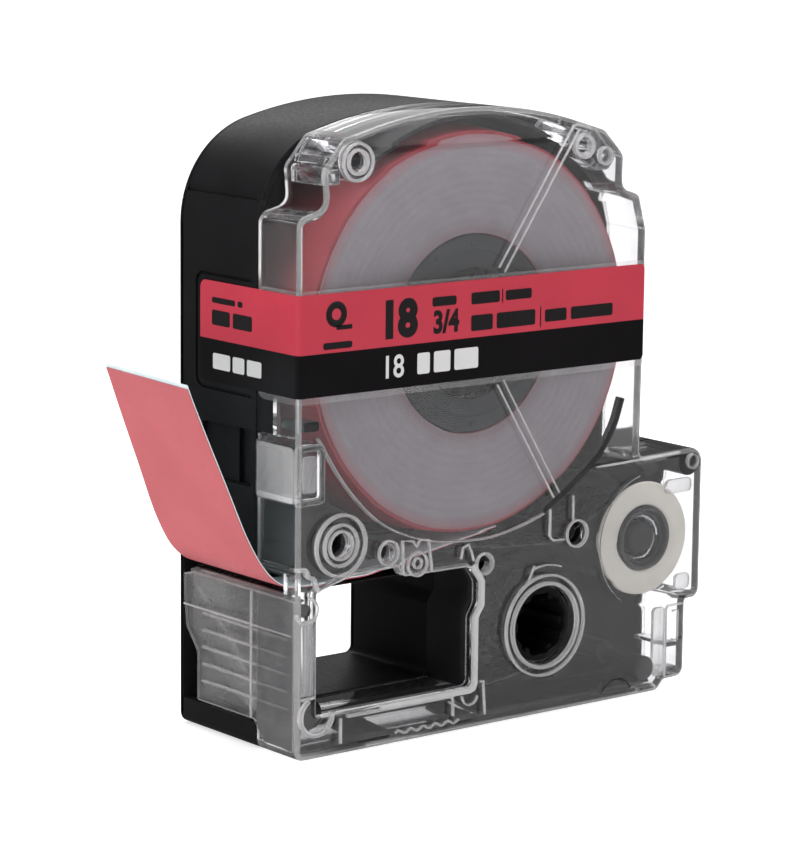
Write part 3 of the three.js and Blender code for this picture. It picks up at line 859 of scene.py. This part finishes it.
def side_panel():
    """The clear wall below the tape slot, with its ribs and its slanted lip."""
    bm = slab(bmesh.new(), SIDE_OUTLINE, 0.0, 0.9, soft=(0.2, 0.1), axis="x", mat=SIDE, edge=HIGHLIGHT)
    for k in range(5):
        rib = rect(1.7, 18.0, 5.75 + 2 * k, 6.0 + 2 * k, 0.08)
        slab(bm, rib, -0.24, 0.3, soft=0.06, axis="x", mat=SIDE, edge=HIGHLIGHT)
    # Two thin lines of the milky material, painted as highlights; the panel's edges and its ribs' edges
    # take it too.
    slab(bm, rect(1.0, 21.8, 14.2, 14.42, 0.05), -0.1, 0.3, soft=0.05, axis="x", mat=HIGHLIGHT)
    slab(bm, rect(8.5, 8.75, 3.5, 18.2, 0.05), -0.1, 0.3, soft=0.05, axis="x", mat=HIGHLIGHT)
    foot = [(0.05, 18.1, 0.05), (1.25, 18.1, 0.05), (1.6, 18.3, 0.05)]
    lip = [*foot, (0.9, 18.75, 0.15), (0.1, 18.6, 0.1)]
    slab(bm, lip, 1.0, 20.6, soft=0.1, mat=SIDE, edge=HIGHLIGHT)
    return bm


def exit_lips(bm):
    """The clear lips above the tape exit, and the wavy corner of the head opening beside it."""
    for z in (20.9, 21.7):
        lip = [(0.05, z, 0.1), (1.3, z - 0.25, 0.1), (1.5, z + 0.15, 0.1), (0.05, z + 0.35, 0.1)]
        slab(bm, lip, 1.2, 7.4, soft=0.1, mat=BODY, edge=HIGHLIGHT)
    corner = [(0.2, 21.9), (1.1, 21.9), (1.6, 21.0), (2.3, 20.7), (2.6, 19.9), (3.0, 19.2)]
    frame_line(bm, smooth_path(corner, 5), 0.45, -0.25, 0.8)


bm = cover()
for add in (cover_rings, cover_ribs, cover_bottom, cover_right, cover_top, latch_block, exit_lips):
    add(bm)
join(bm, side_panel())
piece("cover_clear", bm, "housing", CLEAR_MATS, ["front_cover"])

# ---- Label -----------------------------------------------------------------------------------


def band_strip(bm, path, low, high, thick, mat, corners, lower=True, upper=True):
    """A thin band that follows a path in plan. Its lower and upper corners can be rounded."""
    lengths = [0.0]
    for a, b in zip(path, path[1:]):
        lengths.append(lengths[-1] + math.dist(a, b))
    rows = []
    for i, (x, y) in enumerate(path):
        a, b = path[max(i - 1, 0)], path[min(i + 1, len(path) - 1)]
        dx, dy = unit(b[0] - a[0], b[1] - a[1])
        drop = 0.0
        for to_end, radius in ((lengths[i], corners[0]), (lengths[-1] - lengths[i], corners[1])):
            if to_end < radius:
                drop = max(drop, radius - math.sqrt(max(radius**2 - (radius - to_end) ** 2, 0)))
        z0, z1 = low + (drop if lower else 0), high - (drop if upper else 0)
        row = []
        for s, z in ((0, z0), (thick, z0), (thick, z1), (0, z1)):
            row.append(bm.verts.new((x + dy * s, y - dx * s, z)))
        rows.append(row)
    bridge(bm, rows, mat)
    for row in (rows[0], rows[-1]):
        bm.faces.new(row).material_index = mat
    return bm


def wrap_path(right, back, off):
    """The label's path in plan: forwards along the side, round the corner, along the front."""
    turn = 0.55
    fine = [0.0, 0.04, 0.1, 0.2, 0.35, 0.55, 0.8, 1.1]
    path = [(-off, back - s) for s in fine]
    path += [(-off, y) for y in (14, 10, 6, 3) if y < back - 1.2]
    for k in range(9):
        a = math.radians(180 + 90 * k / 8)
        path.append((turn + (turn + off) * math.cos(a), turn + (turn + off) * math.sin(a)))
    path += [(x, -off) for x in (5, 12, 20, 30, 40, 46)]
    return path + [(right - s, -off) for s in reversed(fine)]


def label():
    """The printed label: a black band below a red one."""
    bm = bmesh.new()
    path = wrap_path(LABEL_RIGHT, LABEL_BACK, 0.05)
    band_strip(bm, path, LABEL_LOW, LABEL_SPLIT, 0.1, 1, (1.0, 0.6), upper=False)
    band_strip(bm, path, LABEL_SPLIT, LABEL_HIGH, 0.1, 0, (1.0, 0.6), lower=False)
    return bm


piece("label_wrap", label(), "housing", [LABEL_RED, LABEL_BLACK], ["wrap_label"])


def label_margin():
    """The clear film that shows round the printed label."""
    path = wrap_path(LABEL_RIGHT + 0.3, PARTING - 0.1, 0.02)
    return band_strip(bmesh.new(), path, LABEL_LOW - 0.75, LABEL_HIGH + 0.45, 0.05, 0, (1.2, 0.8))


piece("label_margin", label_margin(), "housing", [MARGIN])


def numerals(bm, text, x, z, height, mat, bold, stretch=1.0):
    """Plain numerals on the label's front, lying just above its film."""
    curve = bpy.data.curves.new("numerals", "FONT")
    curve.body = text
    curve.size = height / CAP_HEIGHT
    curve.offset = bold
    curve.extrude = 0.012
    curve.resolution_u = 6
    holder = bpy.data.objects.new("numerals", curve)
    bpy.context.scene.collection.objects.link(holder)
    depsgraph = bpy.context.evaluated_depsgraph_get()
    mesh = bpy.data.meshes.new_from_object(holder.evaluated_get(depsgraph))
    bpy.data.objects.remove(holder)
    for poly in mesh.polygons:
        poly.material_index = mat
    left = min(v.co.x for v in mesh.vertices)
    low = min(v.co.y for v in mesh.vertices)
    for v in mesh.vertices:
        v.co = (x + (v.co.x - left) * stretch, NUMERALS_AT - v.co.z, z + v.co.y - low)
    bm.from_mesh(mesh)
    bpy.data.meshes.remove(mesh)
    bmesh.ops.remove_doubles(bm, verts=bm.verts, dist=0.0005)


def print_bar(bm, x0, x1, z0, z1, mat, side=False):
    """A printed bar in place of a word, on the label's front or on its side."""
    radius = min(0.25, (z1 - z0) / 3)
    axis = "x" if side else "y"
    slab(bm, rect(x0, x1, z0, z1, radius), PRINT_FRONT, PRINT_BACK, soft=0.0, axis=axis, mat=mat)


def label_print():
    """The numerals, and plain bars where the real label has words."""
    bm = bmesh.new()
    numerals(bm, "18", 12.0, 46.75, 4.0, 0, 0.3, 0.95)
    numerals(bm, "3/4", 18.9, 46.8, 2.5, 0, 0.14, 0.85)
    for x0, x1, z0, z1 in (
        (18.7, 22.2, 49.95, 51.0),
        (24.4, 28.6, 49.75, 51.1),
        (28.95, 29.1, 49.6, 51.3),
        (29.5, 33.4, 49.85, 51.0),
        (24.4, 27.6, 46.7, 48.5),
        (28.2, 34.0, 46.7, 48.5),
        (34.75, 34.9, 46.3, 48.8),
        (35.5, 38.8, 46.85, 48.3),
        (39.5, 46.0, 46.85, 48.3),
        (3.3, 7.3, 46.35, 47.1),
    ):
        print_bar(bm, x0, x1, z0, z1, 0)
    # a tape roll as a simple sign
    ring(bm, (5.1, 50.2), 1.45, 0.65, PRINT_FRONT, PRINT_BACK, 0.005, 40, 0)
    slab(bm, rect(5.1, 7.3, 48.45, 48.95, 0.1), PRINT_FRONT, PRINT_BACK, soft=0.0, mat=0)
    numerals(bm, "18", 12.1, 42.35, 2.6, 1, 0.05, 0.9)
    for x0, x1 in ((16.6, 18.4), (19.0, 21.4), (22.0, 25.5)):
        print_bar(bm, x0, x1, 42.45, 44.85, 1)
    for y0, y1, z0, z1 in (
        (11.6, 16.0, 50.1, 50.75),
        (10.2, 11.1, 50.1, 50.75),
        (12.6, 16.0, 47.6, 49.3),
        (8.4, 12.0, 47.6, 49.3),
    ):
        print_bar(bm, y0, y1, z0, z1, 0, side=True)
    for y0, y1 in ((12.5, 15.8), (9.8, 12.0), (6.6, 9.3)):
        print_bar(bm, y0, y1, 42.6, 44.4, 1, side=True)
    return bm


piece("label_marks", label_print(), "housing", [INK_PRINT, WHITE_PRINT])

# ---- Tape roll -------------------------------------------------------------------------------


def tape_core():
    """The grey core, with a web at its front and twelve small studs."""
    bm = bmesh.new()
    wall = [(9.4, 2.6, 0.25), (CORE_OUTER, 2.6, 0.3), (CORE_OUTER, 21.7, 0.3), (9.4, 21.7, 0.25)]
    turned(bm, ROLL, wall, 120)
    web = [(7.5, 2.7, 0.15), (9.8, 2.7, 0.15), (9.8, 3.6, 0.15), (7.5, 3.6, 0.15)]
    turned(bm, ROLL, web, 120)
    for k in range(12):
        a = math.radians(30 * k)
        x, z = ROLL[0] + 10.4 * math.cos(a), ROLL[1] + 10.4 * math.sin(a)
        slab(bm, disc(x, z, 0.35, 16), 2.45, 2.8, soft=0.1)
    return bm


def roll():
    """The wound tape, whose outer turn is a little uneven."""

    def uneven(r, w, a):
        return r - 0.02 * (1 + math.sin(5 * a)) if r > 20 else r

    corners = [
        (11.45, TAPE_FRONT, 0.05),
        (ROLL_OUTER, TAPE_FRONT, 0.12),
        (ROLL_OUTER, TAPE_BACK, 0.12),
        (11.45, TAPE_BACK, 0.05),
    ]
    return turned(bmesh.new(), ROLL, corners, 180, wave=uneven)


piece("core_visual", tape_core(), "tape_spool", [CORE_GREY], ["tape_core"])
piece("roll_visual", roll(), "tape_spool", [ROLL_RED], ["tape_roll"])
for name, w0 in (("roll_film_front", TAPE_FRONT - 0.3), ("roll_film_rear", TAPE_BACK + 0.1)):
    film = ring(bmesh.new(), ROLL, FILM_OUTER, FILM_INNER, w0, w0 + 0.2, 0.08, 160)
    piece(name + "_disc", film, "tape_spool", [FILM_FACE], [name])

# ---- Tape on its way out ---------------------------------------------------------------------


def tape_path(extra=0.0):
    """The tape from under the roll, flat through the exit and up into its free curl."""
    slope = math.tan(math.radians(11))
    bend = 12.7  # where the tape leaves the guide pin for the slope up to the roll
    lifts = ((30.9, 0.1), (24, 0), (18, 0))
    inside = [(x, TAPE_Z + (x - bend) * slope + lift) for x, lift in lifts]
    flat = [(12.9, TAPE_Z + 0.12), (12.0, TAPE_Z), (7, TAPE_Z), (1.6, TAPE_Z)]
    curl = [(0.2, 19.75), (-1, 20.5), (-2.4, 21.9), (-4.4, 25.2), (-7.3, 32), (-10, 38.4)]
    tip = (-11.9 - 0.4 * extra, 43.1 + extra)
    return smooth_path([*inside, *flat, *curl, tip], 8)


def tape_strip(low, high, w0, w1, extra=0.0):
    """A layer of the tape, whose free end is turned a little about the upright."""
    section = [(low, w0), (high, w0), (high, w1), (low, w1)]
    bm = sweep(bmesh.new(), tape_path(extra), section)
    for v in bm.verts:
        raised = max(0, min(1, (v.co.z - 22) / 20)) if v.co.x < 0 else 0
        v.co.x -= (TAPE_MIDDLE - v.co.y) * TAPE_TWIST * raised
    return bm


START, END = point(13, 12, TAPE_Z), point(1, 12, TAPE_Z)
film = tape_strip(0.0, TAPE_LAYER, TAPE_FRONT, TAPE_BACK)
piece("tape_film_red", film, None, [FILM], ["tape_web", "tape_lead_film"], (START, END))
liner = tape_strip(-TAPE_LAYER, 0.0, TAPE_FRONT, TAPE_BACK, 0.4)
piece("tape_liner_pale", liner, None, [LINER], ["tape_lead_liner"], (START, END))

# ---- Platen and ribbon spools ----------------------------------------------------------------


def splines(count, depth, over):
    """A wave for turned(): shallow teeth on the bore."""

    def wave(r, w, a):
        return r - depth * (0.5 + 0.5 * math.copysign(1, math.cos(count * a))) if r < over else r

    return wave


core = bmesh.new()
bore = [(1.3, 1.5, 0.15), (2.2, 1.5, 0.25), (2.2, 21.4, 0.25), (1.3, 21.4, 0.15)]
turned(core, PLATEN, bore, 96, wave=splines(6, 0.12, 1.6))
piece("platen_core_visual", core, "platen", [SPOOL], ["platen_core"])


def ground(r, w, a):
    """The fine grinding waves on the platen's rubber."""
    return r - 0.015 * (1 + math.cos(40 * a)) if r > 4 else r


rubber = ring(bmesh.new(), PLATEN, 4.2, 2.25, TAPE_FRONT, TAPE_BACK, 0.25, 120, wave=ground)
piece("platen_rubber_visual", rubber, "platen", [RUBBER], ["platen_rubber"])

spool = bmesh.new()
ring(spool, TAKEUP, 4.5, 3.8, 0.6, 22.4, 0.15, 144, wave=splines(12, 0.18, 3.95))
for k in range(6):
    a = math.radians(60 * k)
    path = [(TAKEUP[0] + r * math.cos(a), TAKEUP[1] + r * math.sin(a)) for r in (3.2, 3.6, 4.1)]
    sweep(spool, path, band(0.8, 1.0, 22.0, 0.2))
piece("takeup_core_visual", spool, "ribbon_takeup", [BLACK_GLOSS], ["ribbon_takeup_core"])
turns = ring(bmesh.new(), TAKEUP, 5.4, 4.55, TAPE_FRONT, TAPE_BACK, 0.08)
piece("takeup_roll_visual", turns, "ribbon_takeup", [INK_WEB], ["ribbon_takeup_roll"])

tube = bmesh.new()
ring(tube, SUPPLY, 4.0, 2.9, 4.6, 21.4, 0.15)
ring(tube, SUPPLY, 4.0, 3.3, 1.6, 4.7, 0.3)
ring(tube, SUPPLY, 3.3, 2.95, 2.3, 3.4, 0.12)
piece("supply_core_visual", tube, "ribbon_supply", [SPOOL], ["ribbon_supply_core"])
flange = ring(bmesh.new(), SUPPLY, 6.9, 4.05, 2.0, 2.6, 0.22, 128)
piece("supply_flange_visual", flange, "ribbon_supply", [CREAM], ["ribbon_supply_flange"])
turns = ring(bmesh.new(), SUPPLY, 6.1, 4.05, TAPE_FRONT, TAPE_BACK, 0.08)
piece("supply_roll_visual", turns, "ribbon_supply", [INK_EDGE], ["ribbon_supply_roll"])

for node, mat in (("core_brake_spring", STEEL), ("supply_brake_spring", STEEL), ("ribbon_web", INK_WEB)):
    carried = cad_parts[node]
    carried.data.materials.clear()
    carried.data.materials.append(mat)

# ---- Floor, light and camera -----------------------------------------------------------------

AZIMUTH, PITCH, ROLL_ANGLE = math.radians(38.725), math.radians(10.03), math.radians(-0.603)
FOCAL, FRAME_HEIGHT = 3400.0, 860.0  # the focal length that goes with a frame of this height
SENSOR = 36
CAMERA_PLACE = (-0.24742, -0.30488, 0.10283)
FLOOR_TURN = math.radians(-38.7)  # the floor's back wall faces the camera
FLOOR_SIDE, FLOOR_FRONT, COVE_AT, COVE = 3.0, -3.0, 0.6, 0.5
WALL_AT, WALL_TOP = 1.1, 2.4
LIGHTS_AIM = (0, 0, 0.035)


def stage():
    """A pale floor that curves up into a back wall."""
    n = Nodes("floor_white")
    shader = n.shader((0.86, 0.86, 0.86), 0.6)
    color = n.blend(n.noise(6, 2), (0.85, 0.85, 0.85), (0.87, 0.87, 0.87))
    n.link(color, shader.inputs["Base Color"])
    shader.inputs["Emission Color"].default_value = (1, 1, 1, 1)
    shader.inputs["Emission Strength"].default_value = 0.6
    n.done(shader)
    bm = bmesh.new()
    rows = []
    turn = (0.2, 0.5, 0.8, 1.1, 1.4, 1.57)
    cove = [(COVE_AT + COVE * math.sin(a), COVE - COVE * math.cos(a)) for a in turn]
    for y, z in [(FLOOR_FRONT, 0), (COVE_AT, 0), *cove, (WALL_AT, WALL_TOP)]:
        rows.append([bm.verts.new((x, y, z - 0.0001)) for x in (-FLOOR_SIDE, FLOOR_SIDE)])
    for a, b in zip(rows, rows[1:]):
        bm.faces.new((a[0], a[1], b[1], b[0]))
    turn = Matrix.Rotation(FLOOR_TURN, 3, "Z")
    bmesh.ops.rotate(bm, verts=bm.verts, cent=(0, 0, 0), matrix=turn)
    obj = as_object("floor", bm)
    obj.data.materials.append(n.mat)
    obj.data.shade_smooth()
    obj.visible_glossy = False


def softbox(name, place, size, power):
    """A soft rectangular light, turned to face the cartridge."""
    lamp = bpy.data.lights.new(name, "AREA")
    lamp.shape = "RECTANGLE"
    lamp.size, lamp.size_y = size
    lamp.energy = power
    obj = bpy.data.objects.new(name, lamp)
    obj.location = place
    obj.rotation_euler = (Vector(LIGHTS_AIM) - Vector(place)).to_track_quat("-Z", "Y").to_euler()
    bpy.context.scene.collection.objects.link(obj)


stage()
softbox("key_left", (-0.55, -0.1, 0.32), (0.4, 0.5), 1.5)
softbox("fill_front", (0.25, -0.6, 0.35), (0.5, 0.4), 0.8)
softbox("top", (0.0, 0.12, 0.6), (0.6, 0.5), 2.6)
softbox("back_rim", (0.25, 0.5, 0.42), (0.5, 0.3), 0.6)

world = bpy.data.worlds.new("studio")
world.use_nodes = True
world.node_tree.nodes["Background"].inputs[0].default_value = (1, 1, 1, 1)
world.node_tree.nodes["Background"].inputs[1].default_value = 0.11
bpy.context.scene.world = world
bpy.context.scene.view_settings.view_transform = "Standard"

flat = math.cos(PITCH)
forward = Vector((math.sin(AZIMUTH) * flat, math.cos(AZIMUTH) * flat, -math.sin(PITCH)))
level = Vector((math.cos(AZIMUTH), -math.sin(AZIMUTH), 0))
down = forward.cross(level)
right = level * math.cos(ROLL_ANGLE) + down * math.sin(ROLL_ANGLE)
up = level * math.sin(ROLL_ANGLE) - down * math.cos(ROLL_ANGLE)
camera = bpy.data.objects.new("camera", bpy.data.cameras.new("camera"))
camera.matrix_world = Matrix((right, up, -forward)).transposed().to_4x4()
camera.matrix_world.translation = CAMERA_PLACE
camera.data.sensor_width = SENSOR
camera.data.lens = SENSOR * FOCAL / FRAME_HEIGHT
camera.data.clip_start = 0.01
bpy.context.scene.collection.objects.link(camera)
bpy.context.scene.camera = camera

bpy.context.view_layer.update()
